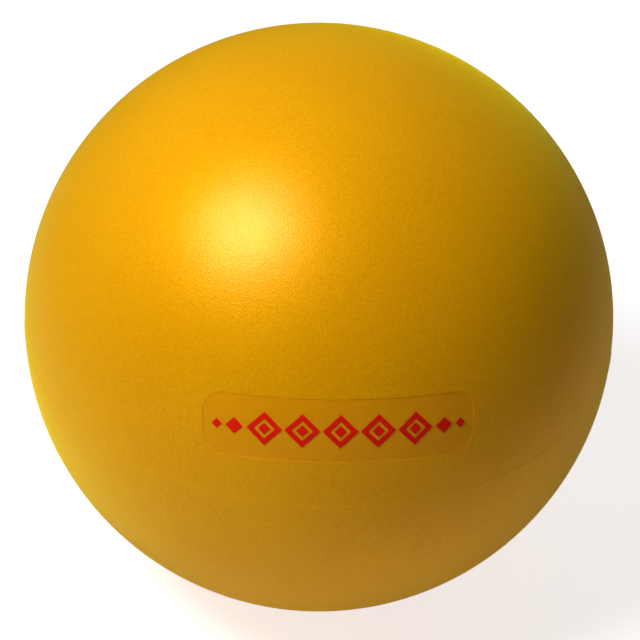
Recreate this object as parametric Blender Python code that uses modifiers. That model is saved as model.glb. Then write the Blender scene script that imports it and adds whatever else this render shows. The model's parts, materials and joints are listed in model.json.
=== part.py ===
"""Air-filled soft-vinyl volleyball, built from four pieces.

A one-piece moulded skin, a clear label film let into it, a soft valve seat fused into a hole opposite
the label, and the push-in stopper that closes the seat. Units are metres, +Z is up. The origin is the
ball's centre, the mould's parting line lies in the XY plane and the label faces -Y.
"""

import math

import bmesh
import bpy
from mathutils import Vector

# Ball
BALL_DIAMETER = 0.210
SKIN_WALL = 0.0016
PARTING_RIDGE_HEIGHT = 0.0002
PARTING_RIDGE_WIDTH = 0.0008

# Label film, measured along the ball's surface
LABEL_WIDTH = 0.090
LABEL_HEIGHT = 0.0215
LABEL_CORNER_RADIUS = 0.007
LABEL_FILM_THICKNESS = 0.00025
LABEL_LATITUDE = math.radians(15.4)

# Valve stopper
STOPPER_HEAD_DIAMETER = 0.012
STOPPER_HEAD_THICKNESS = 0.0014
STOPPER_HEAD_SINK = 0.0003
STOPPER_EDGE_CHAMFER = 0.0003
STOPPER_STEM_DIAMETER = 0.006
STOPPER_STEM_TAPER = 0.0012
STOPPER_STEM_LENGTH = 0.012
STOPPER_GROOVE_COUNT = 3
STOPPER_GROOVE_WIDTH = 0.0012
STOPPER_GROOVE_DEPTH = 0.0003
PRY_NOTCH_DIAMETER = 0.003
PRY_NOTCH_DEPTH = 0.0007

# Valve seat
SEAT_COLLAR_WIDTH = 0.0022
SEAT_FLANGE_OVERHANG = 0.003
SEAT_FLANGE_THICKNESS = 0.0015
SEAT_TUBE_WALL = 0.0018
SEAT_TUBE_LENGTH = 0.008

# Clearances between neighbouring pieces
FIT_GAP = 0.0003
STEM_CLEARANCE = 0.00015

# Facets
BALL_SEGMENTS = 60
BALL_RINGS = 30
TURNED_SEGMENTS = 32
LABEL_CORNER_STEPS = 5
LABEL_LONG_SIDE_STEPS = 8
LABEL_SHORT_SIDE_STEPS = 2

# Joining distance for points that land on the turning axis
WELD_DISTANCE = 0.00001

# Ball radii that the fits share; a faceted sphere dips to FACET_DIP of its radius mid-facet
BALL_RADIUS = BALL_DIAMETER / 2
INNER_RADIUS = BALL_RADIUS - SKIN_WALL
FACET_DIP = math.cos(math.pi / BALL_SEGMENTS) * math.cos(math.pi / BALL_RINGS / 2)
FILM_INNER_RADIUS = BALL_RADIUS - LABEL_FILM_THICKNESS
POCKET_FLOOR_RADIUS = FILM_INNER_RADIUS - FIT_GAP

# Valve radii, from the stopper outwards
HEAD_RADIUS = STOPPER_HEAD_DIAMETER / 2
STEM_RADIUS = STOPPER_STEM_DIAMETER / 2
RECESS_RADIUS = HEAD_RADIUS + FIT_GAP
COLLAR_RADIUS = RECESS_RADIUS + SEAT_COLLAR_WIDTH
HOLE_RADIUS = COLLAR_RADIUS + FIT_GAP
FLANGE_RADIUS = HOLE_RADIUS + SEAT_FLANGE_OVERHANG


def height_on_sphere(off_axis, sphere_radius):
    """Height of a concentric sphere above the valve point, at a distance off the valve's axis."""
    return math.sqrt(sphere_radius**2 - off_axis**2) - BALL_RADIUS


# Valve heights along its axis; zero is the valve point on the ball's surface, and inwards is negative
FLUSH_RADIUS = BALL_RADIUS * FACET_DIP
UNDER_SKIN_RADIUS = INNER_RADIUS * FACET_DIP - FIT_GAP
HEAD_FACE = height_on_sphere(RECESS_RADIUS, FLUSH_RADIUS) - STOPPER_HEAD_SINK
HEAD_UNDERSIDE = HEAD_FACE - STOPPER_HEAD_THICKNESS
STEM_TIP = HEAD_UNDERSIDE - STOPPER_STEM_LENGTH
RECESS_FLOOR = HEAD_UNDERSIDE - FIT_GAP
FLANGE_EDGE_TOP = height_on_sphere(FLANGE_RADIUS, UNDER_SKIN_RADIUS)
FLANGE_BOTTOM = min(FLANGE_EDGE_TOP, RECESS_FLOOR) - SEAT_FLANGE_THICKNESS
TUBE_END = FLANGE_BOTTOM - SEAT_TUBE_LENGTH


def clear_scene():
    """Remove every object that the file starts with."""
    for old in list(bpy.data.objects):
        bpy.data.objects.remove(old, do_unlink=True)


def new_collection(name):
    """Make a collection in the scene."""
    collection = bpy.data.collections.new(name)
    bpy.context.scene.collection.children.link(collection)
    return collection


def principled(name, colour, roughness, alpha=1.0):
    """Make a Principled BSDF material."""
    material = bpy.data.materials.new(name)
    material.use_nodes = True
    shader = material.node_tree.nodes["Principled BSDF"]
    shader.inputs["Base Color"].default_value = (*colour, 1.0)
    shader.inputs["Roughness"].default_value = roughness
    shader.inputs["Metallic"].default_value = 0.0
    shader.inputs["Alpha"].default_value = alpha
    return material


def add_object(name, mesh, collection, material=None, parent=None):
    """Put a mesh in a collection under its name, with its material and the empty that carries it."""
    piece = bpy.data.objects.new(name, mesh)
    collection.objects.link(piece)
    piece.parent = parent
    if material:
        mesh.materials.append(material)
        mesh.shade_smooth()
        mesh.set_sharp_from_angle(angle=math.radians(30))
    return piece


def make_cutter(piece):
    """Mark an object as a tool that only shapes others."""
    piece.hide_render = True
    piece.display_type = "WIRE"
    return piece


def cut(piece, tool, operation="DIFFERENCE"):
    """Shape a piece by a tool with an exact Boolean."""
    boolean = piece.modifiers.new(f"{operation.lower()}_{tool.name}", "BOOLEAN")
    boolean.operation = operation
    boolean.solver = "EXACT"
    boolean.object = tool


def turned(name, loops, segments, collection, material=None, parent=None):
    """Turn profiles about local Z; each loop is its (radius, height) points and whether it closes."""
    outline = bmesh.new()
    for points, closed in loops:
        verts = [outline.verts.new((radius, 0, height)) for radius, height in points]
        ends = verts[1:] + verts[:1] if closed else verts[1:]
        for start, end in zip(verts, ends):
            outline.edges.new((start, end))
    mesh = bpy.data.meshes.new(name)
    outline.to_mesh(mesh)
    outline.free()
    piece = add_object(name, mesh, collection, material, parent)
    screw = piece.modifiers.new("turn", "SCREW")
    screw.axis = "Z"
    screw.steps = segments
    screw.render_steps = segments
    screw.use_merge_vertices = True
    screw.merge_threshold = WELD_DISTANCE
    screw.use_smooth_shade = True
    return piece


def ball_profile(radius, ridge_height=0.0):
    """Half circle from the top pole to the bottom one, with the parting ridge at the equator.

    Every sphere takes the same ring latitudes, so that concentric facets stay parallel.
    """
    ridge_half = PARTING_RIDGE_WIDTH / BALL_DIAMETER
    rings = [math.pi / 2 - math.pi * ring / BALL_RINGS for ring in range(BALL_RINGS + 1)]
    latitudes = [ring for ring in rings if abs(ring) > ridge_half]
    latitudes += [ridge_half, 0.0, -ridge_half]
    points = []
    for latitude in sorted(latitudes, reverse=True):
        reach = radius + (ridge_height if latitude == 0.0 else 0.0)
        at_pole = latitude in (rings[0], rings[-1])
        points.append((0.0 if at_pole else reach * math.cos(latitude), reach * math.sin(latitude)))
    return points


def ball_tool(name, radius, collection):
    """Closed sphere that trims the label pieces to a depth in the skin."""
    return make_cutter(turned(name, [(ball_profile(radius), False)], BALL_SEGMENTS, collection))


def rounded_rectangle(width, height, corner):
    """Outline of a rounded rectangle, anticlockwise, with points along its sides so it can be wrapped."""
    across = width / 2 - corner
    up = height / 2 - corner
    centres = [(across, -up), (across, up), (-across, up), (-across, -up)]
    side_steps = [LABEL_SHORT_SIDE_STEPS, LABEL_LONG_SIDE_STEPS] * 2
    points = []
    for turn, (centre_u, centre_v) in enumerate(centres):
        for step in range(LABEL_CORNER_STEPS + 1):
            angle = math.radians(90) * (turn - 1 + step / LABEL_CORNER_STEPS)
            points.append((centre_u + corner * math.cos(angle), centre_v + corner * math.sin(angle)))
        start = Vector(points[-1])
        next_centre = centres[(turn + 1) % len(centres)]
        along = Vector(next_centre) - Vector((centre_u, centre_v))
        for step in range(1, side_steps[turn]):
            points.append(tuple(start + along * step / side_steps[turn]))
    return points


def wrapped_blank(name, grow, collection, material=None):
    """Rounded-rectangle block wrapped on the ball with radial sides, larger than the label all round.

    It is drawn flat as a filled curve, made a mesh, and bent round the ball's centre.
    """
    reach = BALL_RADIUS * 0.3
    outline = rounded_rectangle(
        LABEL_WIDTH + 2 * grow, LABEL_HEIGHT + 2 * grow, LABEL_CORNER_RADIUS + grow
    )
    curve = bpy.data.curves.new(f"{name}_outline", "CURVE")
    curve.dimensions = "2D"
    curve.fill_mode = "BOTH"
    curve.extrude = reach
    spline = curve.splines.new("POLY")
    spline.points.add(len(outline) - 1)
    for point, (across, up) in zip(spline.points, outline):
        point.co = (across, up, 0.0, 1.0)
    spline.use_cyclic_u = True
    flat = bpy.data.objects.new(f"{name}_outline", curve)
    collection.objects.link(flat)
    mesh = bpy.data.meshes.new_from_object(flat.evaluated_get(bpy.context.evaluated_depsgraph_get()))
    mesh.name = name
    bpy.data.objects.remove(flat, do_unlink=True)

    block = bmesh.new()
    block.from_mesh(mesh)
    bmesh.ops.remove_doubles(block, verts=block.verts, dist=WELD_DISTANCE)
    for vert in block.verts:
        across = vert.co.x / BALL_RADIUS
        up = vert.co.y / BALL_RADIUS
        ray = Vector((math.cos(up) * math.sin(across), -math.cos(up) * math.cos(across), math.sin(up)))
        vert.co = ray * (BALL_RADIUS + vert.co.z)
    block.to_mesh(mesh)
    block.free()
    piece = add_object(name, mesh, collection, material)
    piece.rotation_euler.x = -LABEL_LATITUDE
    return piece


def build_skin(parts, cutters, material, valve):
    """Hollow one-piece skin with its parting ridge, the label's pocket and the valve's hole."""
    outside = ball_profile(BALL_RADIUS, PARTING_RIDGE_HEIGHT)
    inside = list(reversed(ball_profile(INNER_RADIUS)))
    skin = turned("ball_skin", [(outside, False), (inside, False)], BALL_SEGMENTS, parts, material)

    pocket = make_cutter(wrapped_blank("label_pocket_cutter", FIT_GAP, cutters))
    cut(pocket, ball_tool("pocket_floor_tool", POCKET_FLOOR_RADIUS, cutters))
    cut(skin, pocket)

    top = SKIN_WALL
    bottom = height_on_sphere(HOLE_RADIUS, UNDER_SKIN_RADIUS) - SKIN_WALL
    profile = [(0, top), (HOLE_RADIUS, top), (HOLE_RADIUS, bottom), (0, bottom)]
    hole = turned("valve_hole_cutter", [(profile, False)], TURNED_SEGMENTS, cutters, parent=valve)
    cut(skin, make_cutter(hole))


def build_label(parts, cutters, material):
    """Clear film that lies flush in the skin's pocket."""
    film = wrapped_blank("label_film", 0.0, parts, material)
    cut(film, ball_tool("film_face_tool", BALL_RADIUS, cutters), "INTERSECT")
    cut(film, ball_tool("film_back_tool", FILM_INNER_RADIUS, cutters))


def stem_radius_at(height):
    """Radius of the tapered stem at a height on the valve's axis."""
    share = (HEAD_UNDERSIDE - height) / STOPPER_STEM_LENGTH
    return STEM_RADIUS - STOPPER_STEM_TAPER / 2 * share


def build_seat(parts, material, valve):
    """Soft sleeve in the skin's hole: flush collar, head recess, flange under the skin, tapered bore."""
    profile = [
        (RECESS_RADIUS, height_on_sphere(RECESS_RADIUS, FLUSH_RADIUS)),
        (COLLAR_RADIUS, height_on_sphere(COLLAR_RADIUS, FLUSH_RADIUS)),
        (COLLAR_RADIUS, height_on_sphere(COLLAR_RADIUS, UNDER_SKIN_RADIUS)),
        (FLANGE_RADIUS, FLANGE_EDGE_TOP),
        (FLANGE_RADIUS, FLANGE_BOTTOM),
        (STEM_RADIUS + STEM_CLEARANCE + SEAT_TUBE_WALL, FLANGE_BOTTOM),
        (STEM_RADIUS + STEM_CLEARANCE + SEAT_TUBE_WALL, TUBE_END),
        (stem_radius_at(TUBE_END) + STEM_CLEARANCE, TUBE_END),
        (stem_radius_at(RECESS_FLOOR) + STEM_CLEARANCE, RECESS_FLOOR),
        (RECESS_RADIUS, RECESS_FLOOR),
    ]
    turned("valve_seat", [(profile, True)], TURNED_SEGMENTS, parts, material, valve)


def stem_profile():
    """Stem side from the head down to the tip, with its sealing grooves."""
    half = STOPPER_GROOVE_WIDTH / 2
    points = [(STEM_RADIUS, HEAD_UNDERSIDE)]
    for groove in range(STOPPER_GROOVE_COUNT):
        share = (groove + 1) / (STOPPER_GROOVE_COUNT + 1)
        middle = HEAD_UNDERSIDE - STOPPER_STEM_LENGTH * share
        floor = stem_radius_at(middle) - STOPPER_GROOVE_DEPTH
        points.append((stem_radius_at(middle + half), middle + half))
        points.append((floor, middle + half / 2))
        points.append((floor, middle - half / 2))
        points.append((stem_radius_at(middle - half), middle - half))
    chamfer = STOPPER_EDGE_CHAMFER
    points.append((stem_radius_at(STEM_TIP + chamfer), STEM_TIP + chamfer))
    points.append((stem_radius_at(STEM_TIP) - chamfer, STEM_TIP))
    return points


def build_stopper(parts, cutters, material, valve):
    """Push-in stopper: flat head with a pry notch at the top of its rim, and a grooved, tapered stem."""
    chamfer = STOPPER_EDGE_CHAMFER
    head = [
        (0, HEAD_FACE),
        (HEAD_RADIUS - chamfer, HEAD_FACE),
        (HEAD_RADIUS, HEAD_FACE - chamfer),
        (HEAD_RADIUS, HEAD_UNDERSIDE),
    ]
    profile = head + stem_profile() + [(0, STEM_TIP)]
    stopper = turned("valve_stopper", [(profile, False)], TURNED_SEGMENTS, parts, material, valve)

    radius = PRY_NOTCH_DIAMETER / 2
    top = HEAD_FACE + PRY_NOTCH_DEPTH
    bottom = HEAD_FACE - PRY_NOTCH_DEPTH
    notch_profile = [(0, top), (radius, top), (radius, bottom), (0, bottom)]
    notch = turned("pry_notch_cutter", [(notch_profile, False)], TURNED_SEGMENTS, cutters, parent=valve)
    notch.location.y = -HEAD_RADIUS
    cut(stopper, make_cutter(notch))


def place_valve(parts):
    """Empty on the ball's surface opposite the label, with its Z along the valve's axis, pointing out."""
    valve = bpy.data.objects.new("valve_axis", None)
    parts.objects.link(valve)
    valve.location = Vector((0, math.cos(LABEL_LATITUDE), -math.sin(LABEL_LATITUDE))) * BALL_RADIUS
    valve.rotation_euler.x = -(math.pi / 2 + LABEL_LATITUDE)
    return valve


def main():
    """Build the ball."""
    clear_scene()
    parts = new_collection("soft_vinyl_volleyball")
    cutters = new_collection("cutters")
    skin_vinyl = principled("skin_vinyl", (0.945, 0.405, 0.004), 0.43)
    seat_vinyl = principled("seat_vinyl", (0.84, 0.338, 0.004), 0.50)
    stopper_plastic = principled("stopper_plastic", (0.80, 0.78, 0.70), 0.43)
    clear_film = principled("clear_film", (0.94, 0.34, 0.004), 0.30, alpha=0.1)

    valve = place_valve(parts)
    build_skin(parts, cutters, skin_vinyl, valve)
    build_label(parts, cutters, clear_film)
    build_seat(parts, seat_vinyl, valve)
    build_stopper(parts, cutters, stopper_plastic, valve)


main()
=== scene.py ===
"""Finished look of a moulded soft-vinyl volleyball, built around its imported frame.

The frame gives every size and place: metres, +Z up, the origin at the ball's centre, the mould's parting
line in the XY plane, the label facing -Y and the valve opposite it. Each sub-assembly is a class that
models its pieces and dresses them, and the studio class sets the floor, the light and the camera.
"""

import json
import logging
import math
from collections.abc import Callable, Iterator
from contextlib import contextmanager
from dataclasses import dataclass
from enum import Enum

import bmesh
import bpy
from mathutils import Matrix, Vector


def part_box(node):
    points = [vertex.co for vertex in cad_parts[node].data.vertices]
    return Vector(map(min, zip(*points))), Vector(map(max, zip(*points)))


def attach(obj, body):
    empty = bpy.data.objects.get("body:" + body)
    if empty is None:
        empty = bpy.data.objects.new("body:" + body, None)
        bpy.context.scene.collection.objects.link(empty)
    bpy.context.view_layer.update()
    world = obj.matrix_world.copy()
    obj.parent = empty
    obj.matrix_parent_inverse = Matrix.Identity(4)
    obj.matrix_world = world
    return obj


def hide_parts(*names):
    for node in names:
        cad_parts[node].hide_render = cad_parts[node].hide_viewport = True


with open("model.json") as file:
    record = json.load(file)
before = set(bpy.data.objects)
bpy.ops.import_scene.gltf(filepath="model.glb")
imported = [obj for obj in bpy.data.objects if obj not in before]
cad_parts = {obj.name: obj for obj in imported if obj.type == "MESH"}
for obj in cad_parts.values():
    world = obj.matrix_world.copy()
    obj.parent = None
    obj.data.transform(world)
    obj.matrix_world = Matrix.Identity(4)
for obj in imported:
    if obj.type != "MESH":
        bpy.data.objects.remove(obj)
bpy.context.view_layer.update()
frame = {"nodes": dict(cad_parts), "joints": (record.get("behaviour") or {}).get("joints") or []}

LOG = logging.getLogger("volleyball")

Colour = tuple[float, float, float]

# Whole range of a value between 0 and 1
WHOLE = (0.0, 1.0)

# Points nearer than this are one point
MERGE_DISTANCE = 1e-6

# Side of the plane that is merged into the first point of a turned profile
SEED_SIDE = 0.001

# Photograph's frame, and the ball's outline in it, in pixels
IMAGE_SIDE = 640
OUTLINE_CENTRE = (318.85, 317.03)
OUTLINE_RADIUS = 294.5


class Body(Enum):
    """Rigid bodies of the frame."""

    BALL = "ball"
    STOPPER = "stopper"


class Slot(Enum):
    """Material slots of the record."""

    SKIN = "skin_vinyl"
    SEAT = "seat_vinyl"
    STOPPER = "stopper_plastic"
    FILM = "clear_film"
    INK = "print_ink"


def reach_along(node: str, axis: Vector) -> tuple[float, float]:
    """Find how far a frame node reaches along an axis through the ball's centre.

    Args:
        node: Name of the node.
        axis: Unit direction.

    Returns:
        The node's lowest and highest distance from the ball's centre along the axis.
    """
    distances = [vert.co.dot(axis) for vert in frame["nodes"][node].data.vertices]
    return min(distances), max(distances)


def half_width(node: str) -> float:
    """Half of a frame node's size along X."""
    low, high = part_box(node)
    return (high.x - low.x) / 2


BALL_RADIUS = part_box("ball_skin")[1].z
VALVE_AXIS = Vector(frame["joints"][0]["axis"]).normalized()
LABEL_NORMAL = -VALVE_AXIS


def deselect() -> None:
    """Leave nothing selected, so that an operator acts on the new piece alone."""
    bpy.ops.object.select_all(action="DESELECT")


def take_new(name: str) -> bpy.types.Object:
    """Name the object that an operator has just added.

    Args:
        name: Name for the object and its mesh.

    Returns:
        The object.
    """
    piece = bpy.context.object
    piece.name = name
    piece.data.name = name
    return piece


@contextmanager
def editing(piece: bpy.types.Object, select_mode: str = "VERT") -> Iterator[None]:
    """Hold a piece in edit mode.

    Args:
        piece: Mesh object to edit.
        select_mode: VERT, EDGE or FACE.
    """
    deselect()
    piece.select_set(True)
    bpy.context.view_layer.objects.active = piece
    bpy.ops.object.mode_set(mode="EDIT")
    bpy.ops.mesh.select_mode(type=select_mode)
    yield
    bpy.ops.object.mode_set(mode="OBJECT")


def pick(piece: bpy.types.Object, wanted: Callable[[Vector], bool]) -> None:
    """Select the points of a piece in edit mode by their place.

    Args:
        piece: Mesh object in edit mode.
        wanted: Says whether a point at this place is selected.
    """
    bpy.ops.mesh.select_all(action="DESELECT")
    mesh = bmesh.from_edit_mesh(piece.data)
    for vert in mesh.verts:
        if wanted(vert.co):
            vert.select_set(True)
    mesh.select_flush(True)
    bmesh.update_edit_mesh(piece.data)


def apply_modifier(piece: bpy.types.Object, kind: str, **settings: object) -> None:
    """Add a modifier to a piece and apply it.

    Args:
        piece: Mesh object.
        kind: The modifier's type.
        **settings: The modifier's own settings.
    """
    deselect()
    piece.select_set(True)
    bpy.context.view_layer.objects.active = piece
    modifier = piece.modifiers.new(kind.lower(), kind)
    for key, value in settings.items():
        setattr(modifier, key, value)
    bpy.ops.object.modifier_apply(modifier=modifier.name)


def cut_away(piece: bpy.types.Object, cutter: bpy.types.Object) -> None:
    """Cut one closed shape out of a piece, and remove the cutter."""
    apply_modifier(piece, "BOOLEAN", object=cutter, operation="DIFFERENCE", solver="EXACT")
    bpy.data.objects.remove(cutter, do_unlink=True)


def smooth(piece: bpy.types.Object, sharp_from: float) -> None:
    """Shade a piece smooth, apart from edges sharper than an angle.

    Args:
        piece: Mesh object.
        sharp_from: Angle in radians from which an edge stays sharp.
    """
    deselect()
    piece.select_set(True)
    bpy.context.view_layer.objects.active = piece
    bpy.ops.object.shade_smooth_by_angle(angle=sharp_from)


def install(
    piece: bpy.types.Object, body: Body, slot: Slot, material: bpy.types.Material, *nodes: str
) -> None:
    """Give a finished piece its material and body, and hide the nodes that it stands for.

    Args:
        piece: Finished piece, with its place in its mesh.
        body: Body that carries it.
        slot: Record slot of its finish; not used.
        material: Its material.
        *nodes: Frame nodes that it stands for.
    """
    piece.data.materials.clear()
    piece.data.materials.append(material)
    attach(piece, body.value)
    if nodes:
        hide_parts(*nodes)
    LOG.info("%s rides on %s, %d faces", piece.name, body.value, len(piece.data.polygons))


def colour_mix(
    tree: bpy.types.NodeTree, share: bpy.types.NodeSocket
) -> tuple[bpy.types.NodeSocket, bpy.types.NodeSocket, bpy.types.NodeSocket]:
    """Add a node that mixes two colours.

    Args:
        tree: Node tree of a material or a world.
        share: Value from 0, the first colour, to 1, the second.

    Returns:
        Inputs of the first and the second colour, and the output.
    """
    mix = tree.nodes.new("ShaderNodeMix")
    mix.data_type = "RGBA"
    tree.links.new(share, mix.inputs["Factor"])
    first, second = (socket for socket in mix.inputs if socket.type == "RGBA")
    output = next(socket for socket in mix.outputs if socket.type == "RGBA")
    return first, second, output


class ShaderSheet:
    """Node tree of one material, with its Principled shader and short ways to add to it."""

    def __init__(self, name: str) -> None:
        """Make an empty Principled material."""
        self.material = bpy.data.materials.new(name)
        self.material.use_nodes = True
        self.tree = self.material.node_tree
        self.shader = self.tree.nodes["Principled BSDF"]
        self.place = self.add("ShaderNodeTexCoord").outputs["Object"]

    def add(self, kind: str, **settings: object) -> bpy.types.Node:
        """Add a node and set its own properties.

        Args:
            kind: Node type.
            **settings: Properties of the node.

        Returns:
            The node.
        """
        node = self.tree.nodes.new(kind)
        for key, value in settings.items():
            setattr(node, key, value)
        return node

    def join(self, output: bpy.types.NodeSocket, target: bpy.types.NodeSocket) -> None:
        """Link an output to an input."""
        self.tree.links.new(output, target)

    def set(self, **values: object) -> None:
        """Set sockets of the shader, with spaces in their names written as underscores."""
        for key, value in values.items():
            self.shader.inputs[key.replace("_", " ")].default_value = value

    def noise(self, grain: float, detail: float = 2.0) -> bpy.types.NodeSocket:
        """Add a noise on the piece's own coordinates.

        Args:
            grain: Size of one blotch in metres.
            detail: Octaves of finer noise.

        Returns:
            Noise value, about 0 to 1.
        """
        mapping = self.add("ShaderNodeMapping")
        mapping.inputs["Scale"].default_value = (1 / grain, 1 / grain, 1 / grain)
        self.join(self.place, mapping.inputs["Vector"])
        texture = self.add("ShaderNodeTexNoise")
        texture.inputs["Scale"].default_value = 1.0
        texture.inputs["Detail"].default_value = detail
        self.join(mapping.outputs["Vector"], texture.inputs["Vector"])
        return texture.outputs["Fac"]

    def spread(
        self,
        value: bpy.types.NodeSocket,
        low: float,
        high: float,
        window: tuple[float, float] = (0.25, 0.75),
    ) -> bpy.types.NodeSocket:
        """Map a value onto a range.

        Args:
            value: Value, for example a noise.
            low: Result at the window's low end.
            high: Result at the window's high end.
            window: Values that reach the two ends.

        Returns:
            The mapped value.
        """
        ramp = self.add("ShaderNodeMapRange")
        self.join(value, ramp.inputs["Value"])
        ramp.inputs["From Min"].default_value = window[0]
        ramp.inputs["From Max"].default_value = window[1]
        ramp.inputs["To Min"].default_value = low
        ramp.inputs["To Max"].default_value = high
        return ramp.outputs["Result"]

    def total(self, first: bpy.types.NodeSocket, second: bpy.types.NodeSocket) -> bpy.types.NodeSocket:
        """Add two values."""
        adder = self.add("ShaderNodeMath", operation="ADD")
        self.join(first, adder.inputs[0])
        self.join(second, adder.inputs[1])
        return adder.outputs["Value"]

    def product(self, first: bpy.types.NodeSocket, second: bpy.types.NodeSocket) -> bpy.types.NodeSocket:
        """Multiply two values."""
        multiplier = self.add("ShaderNodeMath", operation="MULTIPLY")
        self.join(first, multiplier.inputs[0])
        self.join(second, multiplier.inputs[1])
        return multiplier.outputs["Value"]

    def belt(self, half: float, level: float) -> bpy.types.NodeSocket:
        """Make a value that marks a belt along the parting line, where the skin's colour carries a painted
        highlight.

        Args:
            half: Height above and below the line at which the value has faded out.
            level: Value on the line.

        Returns:
            The value.
        """
        split = self.add("ShaderNodeSeparateXYZ")
        self.join(self.place, split.inputs["Vector"])
        height = self.add("ShaderNodeMath", operation="ABSOLUTE")
        self.join(split.outputs["Z"], height.inputs[0])
        return self.spread(height.outputs["Value"], level, 0.0, (half / 2, half))

    def tint(
        self, share: bpy.types.NodeSocket, first: Colour, second: Colour
    ) -> bpy.types.NodeSocket:
        """Mix two colours by a value.

        Args:
            share: Value from 0, the first colour, to 1, the second.
            first: Linear colour.
            second: Linear colour.

        Returns:
            The mixed colour.
        """
        start, end, mixed = colour_mix(self.tree, share)
        start.default_value = (*first, 1.0)
        end.default_value = (*second, 1.0)
        return mixed

    def grain(self, height: bpy.types.NodeSocket, depth: float) -> None:
        """Raise the grain of the surface and of its clear coat by a height value.

        Args:
            height: Height value, about 0 to 1.
            depth: Height in metres that a value of 1 stands for.
        """
        bump = self.add("ShaderNodeBump")
        bump.inputs["Strength"].default_value = 1.0
        bump.inputs["Distance"].default_value = depth
        self.join(height, bump.inputs["Height"])
        for socket in ("Normal", "Coat Normal"):
            self.join(bump.outputs["Normal"], self.shader.inputs[socket])


@dataclass(frozen=True)
class SatinVinyl:
    """Pearly soft vinyl from a finely blasted mould: satin, a little cloudy, golden at grazing angles.

    The pigment has a pearl share and no gloss of its own. The gloss is that of the clear skin over it, and
    its high index keeps it nearly as strong face-on as at grazing angles.
    """

    colour: Colour
    cloud_colour: Colour
    roughness: float = 0.43
    roughness_spread: float = 0.03
    cloud_size: float = 0.045
    cloud_detail: float = 3.0
    polish_detail: float = 4.0
    fleck_size: float = 0.0006
    fleck_window: tuple[float, float] = (0.35, 0.65)
    mottle_window: tuple[float, float] = (0.5, 1.5)
    grain_size: float = 0.0005
    grain_depth: float = 0.00009
    pearl: float = 0.20
    gloss: float = 0.027
    gloss_index: float = 4.0
    gloss_roughness: float = 0.22
    bloom: float = 0.66
    bloom_roughness: float = 0.48
    bloom_tint: Colour = (1.0, 0.88, 0.0)
    # Belt along the parting line whose colour is lightened: a painted highlight.
    seam_half: float = 0.0
    seam_painted_highlight: float = 0.0

    def material(self, name: str) -> bpy.types.Material:
        """Make the material.

        Args:
            name: Name of the material.

        Returns:
            The material.
        """
        sheet = ShaderSheet(name)
        clouds = sheet.noise(self.cloud_size, detail=self.cloud_detail)
        flecks = sheet.spread(sheet.noise(self.fleck_size), 0.0, 1.0, self.fleck_window)
        mottle = sheet.total(clouds, flecks)
        # Lighten the colour in a belt along the parting line: a painted highlight, added to the random
        # mottle.
        if self.seam_painted_highlight:
            mottle = sheet.total(mottle, sheet.belt(self.seam_half, -self.seam_painted_highlight))
        cloudiness_and_seam_highlight = sheet.spread(mottle, 0.0, 1.0, self.mottle_window)
        colour = sheet.tint(cloudiness_and_seam_highlight, self.colour, self.cloud_colour)
        sheet.join(colour, sheet.shader.inputs["Base Color"])
        low = self.roughness - self.roughness_spread
        high = self.roughness + self.roughness_spread
        polish = sheet.spread(sheet.noise(self.cloud_size / 2, detail=self.polish_detail), low, high)
        sheet.join(polish, sheet.shader.inputs["Roughness"])
        sheet.grain(sheet.noise(self.grain_size), self.grain_depth)
        sheet.set(
            Metallic=self.pearl,
            Specular_IOR_Level=0.0,
            Coat_Weight=self.gloss,
            Coat_IOR=self.gloss_index,
            Coat_Roughness=self.gloss_roughness,
            Sheen_Weight=self.bloom,
            Sheen_Roughness=self.bloom_roughness,
            Sheen_Tint=(*self.bloom_tint, 1.0),
        )
        return sheet.material


@dataclass(frozen=True)
class ClearFilm:
    """Clear label film fused onto the vinyl: it deepens the colour under it and shines a little more."""

    colour: Colour = (0.94, 0.34, 0.004)
    cover: float = 0.05
    roughness: float = 0.30
    roughness_spread: float = 0.04
    ripple_size: float = 0.006
    ripple_depth: float = 0.00002
    index: float = 1.49

    def material(self, name: str) -> bpy.types.Material:
        """Make the material.

        Args:
            name: Name of the material.

        Returns:
            The material.
        """
        sheet = ShaderSheet(name)
        ripple = sheet.noise(self.ripple_size)
        low = self.roughness - self.roughness_spread
        high = self.roughness + self.roughness_spread
        sheet.join(sheet.spread(ripple, low, high), sheet.shader.inputs["Roughness"])
        sheet.grain(ripple, self.ripple_depth)
        sheet.set(Base_Color=(*self.colour, 1.0), Alpha=self.cover, IOR=self.index)
        return sheet.material


@dataclass(frozen=True)
class PrintInk:
    """Screen ink under the film's gloss, a little uneven where the screen laid it thin."""

    colour: Colour = (0.92, 0.008, 0.002)
    thin_colour: Colour = (0.94, 0.020, 0.003)
    roughness: float = 0.55
    gloss: float = 0.12
    patch_size: float = 0.0016
    patch_detail: float = 3.0
    thin_window: tuple[float, float] = (0.4, 0.7)

    def material(self, name: str) -> bpy.types.Material:
        """Make the material.

        Args:
            name: Name of the material.

        Returns:
            The material.
        """
        sheet = ShaderSheet(name)
        patches = sheet.noise(self.patch_size, detail=self.patch_detail)
        thinness = sheet.spread(patches, 0.0, 1.0, self.thin_window)
        colour = sheet.tint(thinness, self.colour, self.thin_colour)
        sheet.join(colour, sheet.shader.inputs["Base Color"])
        sheet.set(Roughness=self.roughness, Specular_IOR_Level=self.gloss)
        return sheet.material


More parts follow.
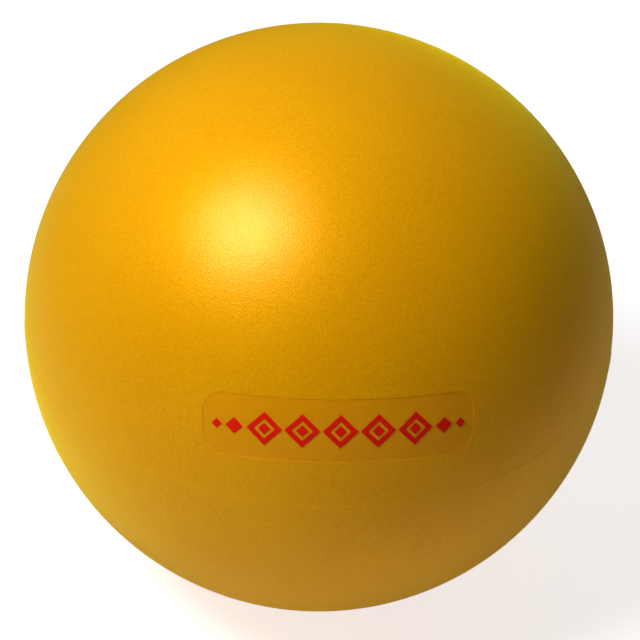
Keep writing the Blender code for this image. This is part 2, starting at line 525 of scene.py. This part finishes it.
@dataclass(frozen=True)
class MouldedPlastic:
    """Waxy natural-white plastic of the stopper, with a faint mould grain and handling marks."""

    colour: Colour = (0.80, 0.78, 0.70)
    worn_colour: Colour = (0.72, 0.69, 0.60)
    roughness: float = 0.43
    roughness_spread: float = 0.06
    patch_size: float = 0.003
    patch_detail: float = 4.0
    worn_window: tuple[float, float] = (0.45, 0.7)
    grain_size: float = 0.0003
    grain_depth: float = 0.000008
    index: float = 1.51
    wax: float = 0.15
    wax_depth: float = 0.001
    wax_colour: Colour = (1.0, 0.9, 0.7)

    def material(self, name: str) -> bpy.types.Material:
        """Make the material.

        Args:
            name: Name of the material.

        Returns:
            The material.
        """
        sheet = ShaderSheet(name)
        wear = sheet.noise(self.patch_size, detail=self.patch_detail)
        wornness = sheet.spread(wear, 0.0, 1.0, self.worn_window)
        colour = sheet.tint(wornness, self.colour, self.worn_colour)
        sheet.join(colour, sheet.shader.inputs["Base Color"])
        low = self.roughness - self.roughness_spread
        high = self.roughness + self.roughness_spread
        sheet.join(sheet.spread(wear, low, high), sheet.shader.inputs["Roughness"])
        sheet.grain(sheet.noise(self.grain_size), self.grain_depth)
        sheet.set(
            IOR=self.index,
            Subsurface_Weight=self.wax,
            Subsurface_Radius=self.wax_colour,
            Subsurface_Scale=self.wax_depth,
        )
        return sheet.material


@dataclass(frozen=True)
class LabelSheet:
    """Flat drawing sheet of the label and the way it is laid on the ball.

    On the flat sheet X runs along the label, Y up it, and Z out of it.
    """

    width: float = 0.090
    height: float = 0.0215
    corner: float = 0.007
    facet: float = 0.0025
    corner_facets: int = 12

    def rounded_plate(self, name: str, grow: float) -> bpy.types.Object:
        """Model a flat rounded rectangle in the sheet's plane.

        Args:
            name: Name of the piece.
            grow: How much larger than the label it is on every side.

        Returns:
            Flat plate, not yet cut into facets.
        """
        deselect()
        bpy.ops.mesh.primitive_plane_add(size=1.0)
        plate = take_new(name)
        with editing(plate):
            bpy.ops.mesh.select_all(action="SELECT")
            bpy.ops.transform.resize(value=(self.width + 2 * grow, self.height + 2 * grow, 1.0))
            bpy.ops.mesh.bevel(offset=self.corner + grow, segments=self.corner_facets, affect="VERTICES")
        return plate

    def facet_for_bending(self, piece: bpy.types.Object) -> None:
        """Slice a flat piece along both ways of the sheet, so that it can follow the ball."""
        with editing(piece):
            for normal, half in ((Vector((1, 0, 0)), self.width / 2), (Vector((0, 1, 0)), self.height / 2)):
                count = int(half / self.facet)
                for step in range(-count, count + 1):
                    bpy.ops.mesh.select_all(action="SELECT")
                    bpy.ops.mesh.bisect(plane_co=normal * step * self.facet, plane_no=normal)

    def lay_on_ball(self, piece: bpy.types.Object, radius: float) -> None:
        """Bend a flat piece onto the ball, so that its plane lies at a radius and its sides stay radial.

        Args:
            piece: Flat piece in the sheet's coordinates.
            radius: Radius on which the sheet's plane comes to lie.
        """
        along = Vector((1, 0, 0))
        up = LABEL_NORMAL.cross(along)
        for vert in piece.data.vertices:
            turn = vert.co.x / BALL_RADIUS
            lift = vert.co.y / BALL_RADIUS
            level = LABEL_NORMAL * math.cos(turn) + along * math.sin(turn)
            vert.co = (level * math.cos(lift) + up * math.sin(lift)) * (radius + vert.co.z)


LABEL_SHEET = LabelSheet()


@dataclass(frozen=True)
class ValveProfile:
    """Sizes that the valve's two pieces and the skin's hole share, read from the frame.

    Heights run along the valve's axis from the ball's centre.
    """

    head_radius: float = half_width("valve_stopper")
    flange_radius: float = half_width("valve_seat")
    head_face: float = reach_along("valve_stopper", VALVE_AXIS)[1]
    stem_tip: float = reach_along("valve_stopper", VALVE_AXIS)[0]
    tube_end: float = reach_along("valve_seat", VALVE_AXIS)[0]
    head_thickness: float = 0.0014
    stem_radius: float = 0.003
    tip_radius: float = 0.0024
    collar_width: float = 0.0022
    tube_wall: float = 0.0018
    flange_thickness: float = 0.0015
    skin_wall: float = 0.0016
    gap: float = 0.0003
    stem_clearance: float = 0.00015

    @property
    def recess_radius(self) -> float:
        """Radius of the recess that takes the stopper's head."""
        return self.head_radius + self.gap

    @property
    def collar_radius(self) -> float:
        """Outer radius of the seat's collar."""
        return self.recess_radius + self.collar_width

    @property
    def hole_radius(self) -> float:
        """Radius of the hole in the skin."""
        return self.collar_radius + self.gap

    @property
    def head_underside(self) -> float:
        """Height of the underside of the stopper's head."""
        return self.head_face - self.head_thickness

    def stem_at(self, height: float) -> float:
        """Radius of the tapered stem at a height."""
        share = (self.head_underside - height) / (self.head_underside - self.stem_tip)
        return self.stem_radius + (self.tip_radius - self.stem_radius) * share


VALVE = ValveProfile()


def turn_on_valve(
    name: str, profile: list[tuple[float, float]], closed: bool, steps: int
) -> bpy.types.Object:
    """Turn a profile about the valve's axis, in place.

    Args:
        name: Name of the piece.
        profile: Points as (distance off the axis, height from the ball's centre).
        closed: Whether the profile is a loop; an open one starts and ends on the axis.
        steps: Facets round the axis.

    Returns:
        Closed turned piece with its faces outwards.
    """
    side = Vector((1, 0, 0))
    places = [side * off + VALVE_AXIS * height for off, height in profile]
    deselect()
    bpy.ops.mesh.primitive_plane_add(size=SEED_SIDE, location=places[0])
    piece = take_new(name)
    bpy.ops.object.transform_apply(location=True, rotation=False, scale=False)
    with editing(piece):
        bpy.ops.mesh.select_all(action="SELECT")
        bpy.ops.mesh.merge(type="CENTER")
        ends = places[1:] + places[:1] if closed else places[1:]
        for start, end in zip(places, ends):
            bpy.ops.mesh.extrude_vertices_move(TRANSFORM_OT_translate={"value": end - start})
        bpy.ops.mesh.select_all(action="SELECT")
        bpy.ops.mesh.remove_doubles(threshold=MERGE_DISTANCE)
        bpy.ops.mesh.select_all(action="SELECT")
        bpy.ops.mesh.spin(steps=steps, angle=math.tau, center=(0, 0, 0), axis=VALVE_AXIS)
        bpy.ops.mesh.select_all(action="SELECT")
        bpy.ops.mesh.remove_doubles(threshold=MERGE_DISTANCE)
        bpy.ops.mesh.normals_make_consistent(inside=False)
    return piece


def rounded_corner(
    corner: tuple[float, float], radius: float, start: float, sweep: float, steps: int = 4
) -> list[tuple[float, float]]:
    """Points of a small arc that rounds a profile's corner.

    Args:
        corner: Centre of the arc, as (distance off the axis, height).
        radius: Radius of the arc.
        start: Angle of its first point, in degrees, from straight out.
        sweep: Angle that it covers, in degrees.
        steps: Facets of the arc.

    Returns:
        Points of the arc.
    """
    angles = [math.radians(start + sweep * step / steps) for step in range(steps + 1)]
    return [(corner[0] + radius * math.cos(angle), corner[1] + radius * math.sin(angle)) for angle in angles]


@dataclass(frozen=True)
class MouldedSkin:
    """Hollow one-piece skin with its parting line, the label's pocket and the valve's hole."""

    wall: float = VALVE.skin_wall
    lip_width: float = 0.0010
    lip_height: float = 0.00013
    lip_shape: tuple[float, ...] = (0.9, 1.0, 1.0, 0.5, 0.0)
    lip_foot_share: float = 0.45
    pocket_depth: float = 0.00013
    pocket_gap: float = 0.00004
    rim_ease: float = 0.000015
    facet_sag: float = 0.00002
    segments: int = 192
    rings: int = 96
    hole_facets: int = 96
    crease: float = math.radians(35)
    # The skin's finish lightens its colour along the parting line: a painted highlight.
    finish: SatinVinyl = SatinVinyl(
        colour=(0.985, 0.457, 0.001), cloud_colour=(0.87, 0.362, 0.001), seam_half=0.0006, seam_painted_highlight=0.42
    )

    def build(self) -> bpy.types.Object:
        """Model the skin.

        Returns:
            The finished skin.
        """
        deselect()
        bpy.ops.mesh.primitive_uv_sphere_add(
            segments=self.segments, ring_count=self.rings, radius=BALL_RADIUS
        )
        skin = take_new("moulded_skin")
        self._raise_parting_line(skin)
        apply_modifier(skin, "SOLIDIFY", thickness=self.wall, offset=-1.0)
        cut_away(skin, self._pocket_cutter())
        cut_away(skin, self._valve_cutter())
        smooth(skin, self.crease)
        self._true_normals(skin)
        return skin

    def _raise_parting_line(self, skin: bpy.types.Object) -> None:
        """Bevel the equator into a narrow band and draw it out into a lip, steep above and flat below."""
        half = self.lip_width / 2
        steps = len(self.lip_shape) - 1
        with editing(skin, "EDGE"):
            pick(skin, lambda place: abs(place.z) < half / 100)
            bpy.ops.mesh.bevel(offset=half, offset_type="OFFSET", segments=steps, affect="EDGES")
        with editing(skin):
            for step, share in enumerate(self.lip_shape):
                height = half * (2 * step / steps - 1)
                swell = 1 + self.lip_height * share / BALL_RADIUS
                pick(skin, lambda place: abs(place.z - height) < half / (2 * steps))
                bpy.ops.transform.resize(value=(swell, swell, 1.0), center_override=(0, 0, 0))

    def _pocket_cutter(self) -> bpy.types.Object:
        """Model the block that cuts the label's pocket, flared at the rim."""
        block = LABEL_SHEET.rounded_plate("pocket_cutter", self.pocket_gap)
        LABEL_SHEET.facet_for_bending(block)
        long = LABEL_SHEET.width + 2 * self.pocket_gap
        tall = LABEL_SHEET.height + 2 * self.pocket_gap
        flare = (1 + 2 * self.rim_ease / long, 1 + 2 * self.rim_ease / tall, 1.0)
        with editing(block, "FACE"):
            bpy.ops.mesh.select_all(action="SELECT")
            for rise, spread in (
                (self.pocket_depth - self.rim_ease, (1.0, 1.0, 1.0)),
                (self.rim_ease, flare),
                (self.pocket_depth, (1.0, 1.0, 1.0)),
            ):
                bpy.ops.mesh.extrude_region_move(TRANSFORM_OT_translate={"value": (0, 0, rise)})
                bpy.ops.transform.resize(value=spread, center_override=(0, 0, 0))
            bpy.ops.mesh.select_all(action="SELECT")
            bpy.ops.mesh.normals_make_consistent(inside=False)
        LABEL_SHEET.lay_on_ball(block, BALL_RADIUS - self.pocket_depth)
        return block

    def _valve_cutter(self) -> bpy.types.Object:
        """Model the plug that cuts the valve's hole, flared at the rim."""
        surface = math.sqrt(BALL_RADIUS**2 - VALVE.hole_radius**2)
        above = BALL_RADIUS + self.wall
        below = surface - 3 * self.wall
        profile = [
            (0.0, above),
            (VALVE.hole_radius + self.rim_ease, above),
            (VALVE.hole_radius + self.rim_ease, surface),
            (VALVE.hole_radius, surface - self.rim_ease),
            (VALVE.hole_radius, below),
            (0.0, below),
        ]
        return turn_on_valve("valve_hole_cutter", profile, closed=False, steps=self.hole_facets)

    def _true_normals(self, skin: bpy.types.Object) -> None:
        """Shade the outer face as the true sphere, apart from the lip's flanks and the cut edges."""
        mesh = skin.data
        lip_foot = self.lip_width * self.lip_foot_share
        normals = [Vector((0, 0, 0))] * len(mesh.loops)
        for face in mesh.polygons:
            places = [mesh.vertices[index].co for index in face.vertices]
            if min(place.length for place in places) > BALL_RADIUS - self.facet_sag:
                for loop, place in zip(face.loop_indices, places):
                    if abs(place.z) > lip_foot:
                        normals[loop] = place.normalized()
        mesh.normals_split_custom_set(normals)

    def dress(self, skin: bpy.types.Object) -> None:
        """Finish the skin and put it in place of its frame node."""
        install(skin, Body.BALL, Slot.SKIN, self.finish.material("yellow_satin_vinyl"), "ball_skin")


@dataclass(frozen=True)
class LabelFilm:
    """Clear film lying flush in the skin's pocket."""

    thickness: float = 0.0001
    edge_ease: float = 0.00003
    edge_facets: int = 2
    crease: float = math.radians(50)
    finish: ClearFilm = ClearFilm()

    def build(self) -> bpy.types.Object:
        """Model the film.

        Returns:
            The finished film.
        """
        film = LABEL_SHEET.rounded_plate("label_sheet", 0.0)
        LABEL_SHEET.facet_for_bending(film)
        LABEL_SHEET.lay_on_ball(film, BALL_RADIUS)
        apply_modifier(film, "SOLIDIFY", thickness=self.thickness, offset=-1.0)
        apply_modifier(
            film,
            "BEVEL",
            width=self.edge_ease,
            segments=self.edge_facets,
            limit_method="ANGLE",
            angle_limit=self.crease,
        )
        smooth(film, self.crease)
        return film

    def dress(self, film: bpy.types.Object) -> None:
        """Finish the film and put it in place of its frame node."""
        install(film, Body.BALL, Slot.FILM, self.finish.material("clear_label_film"), "label_film")


class Lozenge(Enum):
    """Ways a lozenge of the print is drawn."""

    SOLID = "solid"
    RING = "ring"


@dataclass(frozen=True)
class LabelPrint:
    """Generic red print on the label: a row of ringed lozenges that tapers to both ends."""

    big_width: float = 0.0116
    big_height: float = 0.0116
    stroke: float = 0.0017
    core_share: float = 0.36
    pitch: float = 0.0122
    big_count: int = 5
    end_shares: tuple[float, ...] = (0.50, 0.30)
    end_gap: float = 0.0012
    thickness: float = 0.00003
    height_share: float = 1.2
    crease: float = math.radians(40)
    finish: PrintInk = PrintInk()

    def build(self) -> bpy.types.Object:
        """Model the print.

        Returns:
            The finished print as one piece.
        """
        shapes = []
        first = -self.pitch * (self.big_count - 1) / 2
        for place in range(self.big_count):
            across = first + self.pitch * place
            shapes.append(self._lozenge(across, 1.0, Lozenge.RING))
            shapes.append(self._lozenge(across, self.core_share, Lozenge.SOLID))
        edge = -first + self.big_width / 2
        for share in self.end_shares:
            across = edge + self.end_gap + self.big_width * share / 2
            shapes.append(self._lozenge(across, share, Lozenge.SOLID))
            shapes.append(self._lozenge(-across, share, Lozenge.SOLID))
            edge = across + self.big_width * share / 2
        deselect()
        for shape in shapes:
            shape.select_set(True)
        bpy.context.view_layer.objects.active = shapes[0]
        bpy.ops.object.join()
        print_piece = take_new("label_print")
        LABEL_SHEET.facet_for_bending(print_piece)
        LABEL_SHEET.lay_on_ball(print_piece, BALL_RADIUS + self.thickness * self.height_share)
        apply_modifier(print_piece, "SOLIDIFY", thickness=self.thickness, offset=-1.0)
        smooth(print_piece, self.crease)
        return print_piece

    def _lozenge(self, across: float, share: float, drawn: Lozenge) -> bpy.types.Object:
        """Model one flat lozenge on the label's sheet.

        Args:
            across: Its middle along the label.
            share: Its size as a share of the big lozenge.
            drawn: Whether it is solid or a ring.

        Returns:
            The flat lozenge.
        """
        deselect()
        bpy.ops.mesh.primitive_circle_add(vertices=4, radius=0.5, fill_type="NGON")
        shape = take_new("lozenge")
        with editing(shape, "FACE"):
            bpy.ops.mesh.select_all(action="SELECT")
            bpy.ops.transform.resize(value=(self.big_width * share, self.big_height * share, 1.0))
            if drawn is Lozenge.RING:
                bpy.ops.mesh.inset(thickness=self.stroke, depth=0.0)
                bpy.ops.mesh.delete(type="FACE")
            bpy.ops.mesh.select_all(action="SELECT")
            bpy.ops.transform.translate(value=(across, 0, 0))
        return shape

    def dress(self, print_piece: bpy.types.Object) -> None:
        """Finish the print; the frame has no node for it."""
        install(print_piece, Body.BALL, Slot.INK, self.finish.material("red_screen_ink"))


@dataclass(frozen=True)
class ValveSeat:
    """Soft sleeve fused in the skin's hole: collar, head recess, flange under the skin and tapered bore."""

    edge: float = 0.00025
    steps: int = 96
    crease: float = math.radians(40)
    finish: SatinVinyl = SatinVinyl(
        colour=(0.86, 0.350, 0.004), cloud_colour=(0.82, 0.325, 0.003), roughness=0.50, cloud_size=0.01
    )

    def build(self) -> bpy.types.Object:
        """Model the sleeve.

        Returns:
            The finished sleeve.
        """
        valve = VALVE
        collar_in = math.sqrt(BALL_RADIUS**2 - valve.recess_radius**2)
        collar_out = math.sqrt(BALL_RADIUS**2 - valve.collar_radius**2)
        under_skin = BALL_RADIUS - valve.skin_wall - valve.gap
        neck_foot = math.sqrt(under_skin**2 - valve.collar_radius**2)
        flange_top = math.sqrt(under_skin**2 - valve.flange_radius**2)
        recess_floor = valve.head_underside - valve.gap
        flange_bottom = min(flange_top, recess_floor) - valve.flange_thickness
        tube_radius = valve.stem_radius + valve.stem_clearance + valve.tube_wall
        edge = self.edge
        profile = rounded_corner((valve.recess_radius + edge, collar_in - edge), edge, 180, -90)
        profile += rounded_corner((valve.collar_radius - edge, collar_out - edge), edge, 90, -90)
        profile += [
            (valve.collar_radius, neck_foot),
            (valve.flange_radius - edge, flange_top),
        ]
        profile += rounded_corner((valve.flange_radius - edge, flange_bottom + edge), edge, 0, -90)
        profile += [
            (tube_radius, flange_bottom),
            (tube_radius, valve.tube_end),
            (valve.stem_at(valve.tube_end) + valve.stem_clearance, valve.tube_end),
            (valve.stem_at(recess_floor) + valve.stem_clearance, recess_floor),
            (valve.recess_radius, recess_floor),
        ]
        sleeve = turn_on_valve("seat_sleeve", profile, closed=True, steps=self.steps)
        smooth(sleeve, self.crease)
        return sleeve

    def dress(self, sleeve: bpy.types.Object) -> None:
        """Finish the sleeve and put it in place of its frame node."""
        install(sleeve, Body.BALL, Slot.SEAT, self.finish.material("soft_seat_vinyl"), "valve_seat")


@dataclass(frozen=True)
class ValveStopper:
    """Push-in stopper: flat head with a pry notch in its rim, and a tapered stem with sealing grooves."""

    edge: float = 0.0003
    groove_count: int = 3
    groove_width: float = 0.0012
    groove_depth: float = 0.0003
    groove_facets: int = 6
    notch_radius: float = 0.0015
    notch_depth: float = 0.0007
    notch_facets: int = 48
    steps: int = 96
    crease: float = math.radians(40)
    finish: MouldedPlastic = MouldedPlastic()

    def build(self) -> bpy.types.Object:
        """Model the stopper.

        Returns:
            The finished stopper.
        """
        valve = VALVE
        face = valve.head_face
        profile = [(0.0, face)]
        profile += rounded_corner((valve.head_radius - self.edge, face - self.edge), self.edge, 90, -90)
        profile += [(valve.head_radius, valve.head_underside), (valve.stem_radius, valve.head_underside)]
        length = valve.head_underside - valve.stem_tip
        for groove in range(self.groove_count):
            middle = valve.head_underside - length * (groove + 1) / (self.groove_count + 1)
            profile += self._groove(middle)
        tip = valve.stem_tip
        profile += rounded_corner((valve.tip_radius - self.edge, tip + self.edge), self.edge, 0, -90)
        profile += [(0.0, tip)]
        stopper = turn_on_valve("push_in_stopper", profile, closed=False, steps=self.steps)
        cut_away(stopper, self._notch_cutter())
        smooth(stopper, self.crease)
        return stopper

    def _groove(self, middle: float) -> list[tuple[float, float]]:
        """Profile points of one round-bottomed sealing groove, from its upper edge to its lower one."""
        points = []
        for step in range(self.groove_facets + 1):
            share = step / self.groove_facets
            height = middle + self.groove_width * (0.5 - share)
            depth = self.groove_depth * math.sin(math.pi * share)
            points.append((VALVE.stem_at(height) - depth, height))
        return points

    def _notch_cutter(self) -> bpy.types.Object:
        """Model the round cutter for the pry notch at the top of the head's rim."""
        up = VALVE_AXIS.cross(Vector((1, 0, 0)))
        if up.z < 0:
            up = -up
        deselect()
        bpy.ops.mesh.primitive_cylinder_add(
            vertices=self.notch_facets,
            radius=self.notch_radius,
            depth=2 * self.notch_depth,
            location=VALVE_AXIS * VALVE.head_face + up * VALVE.head_radius,
            rotation=VALVE_AXIS.to_track_quat("Z", "Y").to_euler(),
        )
        return take_new("notch_cutter")

    def dress(self, stopper: bpy.types.Object) -> None:
        """Finish the stopper and put it in place of its frame node."""
        material = self.finish.material("natural_white_plastic")
        install(stopper, Body.STOPPER, Slot.STOPPER, material, "valve_stopper")


@dataclass(frozen=True)
class Studio:
    """Pale floor, soft studio light and the camera at the photograph's angle."""

    camera_azimuth: float = math.radians(-5.0)
    camera_elevation: float = math.radians(35.6)
    camera_roll: float = math.radians(3.0)
    camera_distance: float = 8 * BALL_RADIUS
    sensor: float = 36.0
    floor_side: float = 40.0
    # Centre and reach of the painted pool of light on the floor: whiter and glowing more near the ball.
    floor_near: tuple[float, float] = (0.06, 0.24)
    floor_reach: tuple[float, float] = (0.34, 0.52)
    floor_pale: Colour = (0.85, 0.85, 0.85)
    floor_far: Colour = (0.45, 0.40, 0.35)
    floor_pool_glow: tuple[float, float] = (0.73, 0.265)
    floor_far_lift: float = 0.62
    floor_roughness: float = 0.9
    room_front: Colour = (0.058, 0.048, 0.039)
    room_back: Colour = (0.38, 0.38, 0.38)
    room_shown: Colour = (0.95, 0.95, 0.95)
    room_back_toward: tuple[float, float, float] = (-0.295, 0.955, 0.0)
    room_turn: tuple[float, float] = (-0.3, 1.0)
    key_toward: tuple[float, float, float] = (-0.408, 0.492, 0.769)
    key_distance: float = 0.68
    key_size: float = 0.32
    key_level: float = 0.835

    def build(self) -> None:
        """Set up the whole stage."""
        scene = bpy.context.scene
        scene.view_settings.view_transform = "Standard"
        camera = self._camera()
        scene.camera = camera
        self._floor()
        self._world()
        toward = camera.matrix_world.to_3x3() @ Vector(self.key_toward)
        self._lamp("key_lamp", toward, self.key_distance, self.key_size, self.key_level)

    def _camera(self) -> bpy.types.Object:
        """Aim the camera at the ball's centre and frame the ball's outline as in the photograph."""
        data = bpy.data.cameras.new("camera")
        camera = bpy.data.objects.new("camera", data)
        bpy.context.scene.collection.objects.link(camera)
        level = math.cos(self.camera_elevation)
        toward = Vector(
            (
                math.sin(self.camera_azimuth) * level,
                -math.cos(self.camera_azimuth) * level,
                math.sin(self.camera_elevation),
            )
        )
        aim = (-toward).to_track_quat("-Z", "Y").to_matrix().to_4x4()
        place = Matrix.Translation(toward * self.camera_distance)
        camera.matrix_world = place @ aim @ Matrix.Rotation(self.camera_roll, 4, "Z")
        distance_in_radii = self.camera_distance / BALL_RADIUS
        focal_pixels = OUTLINE_RADIUS * math.sqrt(distance_in_radii**2 - 1)
        data.sensor_width = self.sensor
        data.lens = self.sensor * focal_pixels / IMAGE_SIDE
        data.shift_x = (IMAGE_SIDE / 2 - OUTLINE_CENTRE[0]) / IMAGE_SIDE
        data.shift_y = (OUTLINE_CENTRE[1] - IMAGE_SIDE / 2) / IMAGE_SIDE
        return camera

    def _lamp(self, name: str, toward: Vector, distance: float, size: float, level: float) -> None:
        """Add a round soft lamp that faces the ball.

        Args:
            name: Name of the lamp.
            toward: Direction from the ball's centre to the lamp.
            distance: Distance between them.
            size: Width of the lamp.
            level: Brightness of a white card at the ball's centre that faces the lamp.
        """
        data = bpy.data.lights.new(name, "AREA")
        data.shape = "DISK"
        data.size = size
        data.energy = level * (math.pi * distance) ** 2
        lamp = bpy.data.objects.new(name, data)
        direction = toward.normalized()
        aim = (-direction).to_track_quat("-Z", "Y").to_matrix().to_4x4()
        lamp.matrix_world = Matrix.Translation(direction * distance) @ aim
        bpy.context.scene.collection.objects.link(lamp)

    def _floor(self) -> None:
        """Lay the pale floor.

        The camera sees it white everywhere. Near the ball it is whiter and glows more in the ball's
        reflections: a painted pool of light. Farther off, it is greyer, shows less in the ball's sheen and
        throws back less light.
        """
        deselect()
        bpy.ops.mesh.primitive_plane_add(size=self.floor_side, location=(0, 0, -BALL_RADIUS))
        floor = take_new("studio_floor")
        sheet = ShaderSheet("white_floor")
        off = sheet.add("ShaderNodeVectorMath", operation="DISTANCE")
        sheet.join(sheet.place, off.inputs[0])
        off.inputs[1].default_value = (*self.floor_near, 0.0)
        away = sheet.spread(off.outputs["Value"], 0.0, 1.0, self.floor_reach)
        away.node.interpolation_type = "SMOOTHSTEP"
        # Whiter near the ball and greyer further off: a painted pool of light.
        colour = sheet.tint(away, self.floor_pale, self.floor_far)
        sheet.join(colour, sheet.shader.inputs["Base Color"])
        rays = sheet.add("ShaderNodeLightPath").outputs
        seen = sheet.total(rays["Is Camera Ray"], rays["Is Transmission Ray"])
        shown = sheet.spread(sheet.total(seen, rays["Is Glossy Ray"]), 0.0, 1.0, WHOLE)
        # Glow that the ball's reflections see, stronger near the ball: a painted pool of light.
        lift = sheet.product(shown, sheet.spread(away, *self.floor_pool_glow, WHOLE))
        far_lift = sheet.product(seen, sheet.spread(away, 0.0, self.floor_far_lift, WHOLE))
        sheet.join(sheet.total(lift, far_lift), sheet.shader.inputs["Emission Strength"])
        sheet.set(Emission_Color=(1.0, 1.0, 1.0, 1.0), Roughness=self.floor_roughness, Specular_IOR_Level=0.0)
        floor.data.materials.append(sheet.material)

    def _world(self) -> None:
        """Fill the room with a low light that grows towards the back, and show the camera a pale backdrop."""
        world = bpy.data.worlds.new("studio_world")
        bpy.context.scene.world = world
        world.use_nodes = True
        tree = world.node_tree
        direction = tree.nodes.new("ShaderNodeTexCoord")
        backwards = tree.nodes.new("ShaderNodeVectorMath")
        backwards.operation = "DOT_PRODUCT"
        tree.links.new(direction.outputs["Generated"], backwards.inputs[0])
        backwards.inputs[1].default_value = self.room_back_toward
        level = tree.nodes.new("ShaderNodeMapRange")
        level.interpolation_type = "SMOOTHSTEP"
        tree.links.new(backwards.outputs["Value"], level.inputs["Value"])
        level.inputs["From Min"].default_value = self.room_turn[0]
        level.inputs["From Max"].default_value = self.room_turn[1]
        front, back, room = colour_mix(tree, level.outputs["Result"])
        front.default_value = (*self.room_front, 1.0)
        back.default_value = (*self.room_back, 1.0)
        rays = tree.nodes.new("ShaderNodeLightPath").outputs
        seen = tree.nodes.new("ShaderNodeMath")
        seen.operation = "ADD"
        tree.links.new(rays["Is Camera Ray"], seen.inputs[0])
        tree.links.new(rays["Is Transmission Ray"], seen.inputs[1])
        light, backdrop, shown = colour_mix(tree, seen.outputs["Value"])
        tree.links.new(room, light)
        backdrop.default_value = (*self.room_shown, 1.0)
        tree.links.new(shown, tree.nodes["Background"].inputs["Color"])


def main() -> None:
    """Build every sub-assembly, then the stage."""
    logging.basicConfig(level=logging.INFO, format="%(name)s: %(message)s")
    for assembly in (MouldedSkin(), LabelFilm(), LabelPrint(), ValveSeat(), ValveStopper()):
        assembly.dress(assembly.build())
    Studio().build()


if __name__ == "__main__":
    main()
